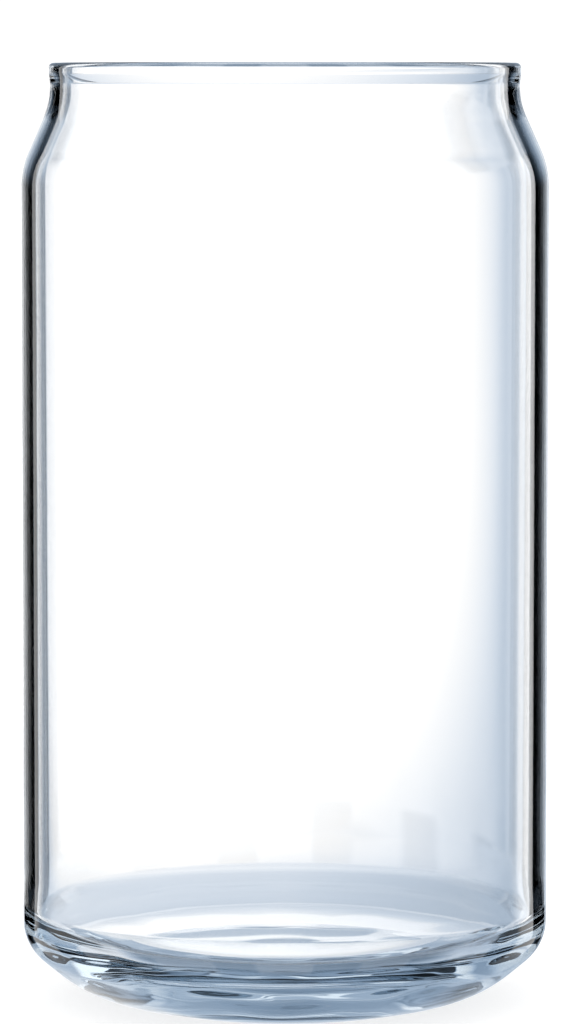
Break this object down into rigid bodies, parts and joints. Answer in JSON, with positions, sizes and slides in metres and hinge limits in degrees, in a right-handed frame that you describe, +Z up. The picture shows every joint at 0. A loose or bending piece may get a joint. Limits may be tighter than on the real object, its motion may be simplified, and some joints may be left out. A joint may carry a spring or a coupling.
{
  "type": "can shaped drinking glass",
  "caption": "Clear drinking glass shaped like a drinks can: straight wall, drawn-in neck with a beaded mouth, and a thick base with a rounded heel.",
  "frame": {"origin": "centre of the foot, on the surface that the glass stands on", "axes": "+Z up along the axis of the glass, from foot to mouth; +X and +Y are any two level directions, because the glass is round"},
  "size_m": [0.075, 0.075, 0.1337],
  "materials": {
    "clear_glass": "smooth, fire polished, colourless"
  },
  "bodies": {
    "root": {"can_glass": "clear_glass"}
  },
  "joints": []
}
